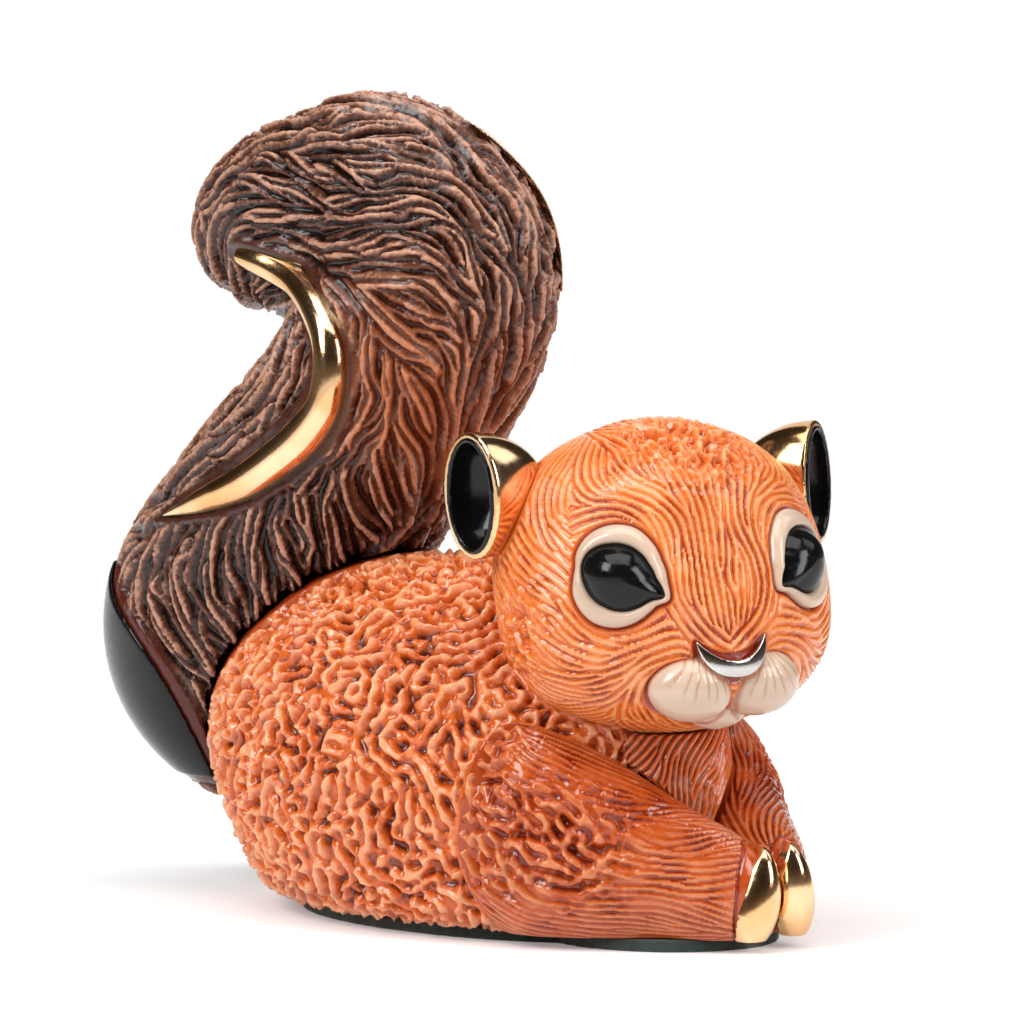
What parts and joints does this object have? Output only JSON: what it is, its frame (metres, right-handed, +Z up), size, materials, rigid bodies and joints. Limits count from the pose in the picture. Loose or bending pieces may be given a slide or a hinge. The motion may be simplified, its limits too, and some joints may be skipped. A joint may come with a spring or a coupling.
{
  "type": "squirrel figurine",
  "caption": "Lying squirrel figurine in carved, glazed ceramic with gold lustre ears, toes and tail bands, on a felt base, for display on a shelf.",
  "frame": {"origin": "on the underside of the felt, near the middle of the base, below the squirrel's chest and belly", "axes": "+Z up, -Y the way the squirrel lies facing, its right side at -X"},
  "size_m": [0.0508, 0.1055, 0.0968],
  "materials": {
    "body_glaze": "gloss glaze, orange on the ridges and red-brown in the hollows",
    "head_glaze": "gloss glaze, orange with red-brown incised lines",
    "tail_glaze": "gloss glaze, chocolate in the grooves and pinkish tan on the strands",
    "cream_glaze": "gloss glaze, cream",
    "black_glaze": "high gloss glaze, black",
    "gold_lustre": "fired gold lustre, mirror bright",
    "platinum_lustre": "fired platinum lustre, mirror bright",
    "felt": "matt wool felt, dark green"
  },
  "bodies": {
    "root": {"body_casting": "body_glaze", "head_casting": "head_glaze", "tail_casting": "tail_glaze", "foreleg_right": "head_glaze", "foreleg_left": "head_glaze", "chest_bib": "body_glaze", "ear_right": "gold_lustre", "ear_left": "gold_lustre", "ear_lining_right": "black_glaze", "ear_lining_left": "black_glaze", "eye_rim_right": "cream_glaze", "eye_rim_left": "cream_glaze", "eye_right": "black_glaze", "eye_left": "black_glaze", "muzzle_pad_right": "cream_glaze", "muzzle_pad_left": "cream_glaze", "chin": "cream_glaze", "nose": "platinum_lustre", "toe_right": "gold_lustre", "toe_left": "gold_lustre", "tail_band_right": "gold_lustre", "tail_band_left": "gold_lustre", "tail_crest_band": "gold_lustre", "tail_base_patch": "black_glaze", "felt_pad": "felt"}
  },
  "joints": []
}
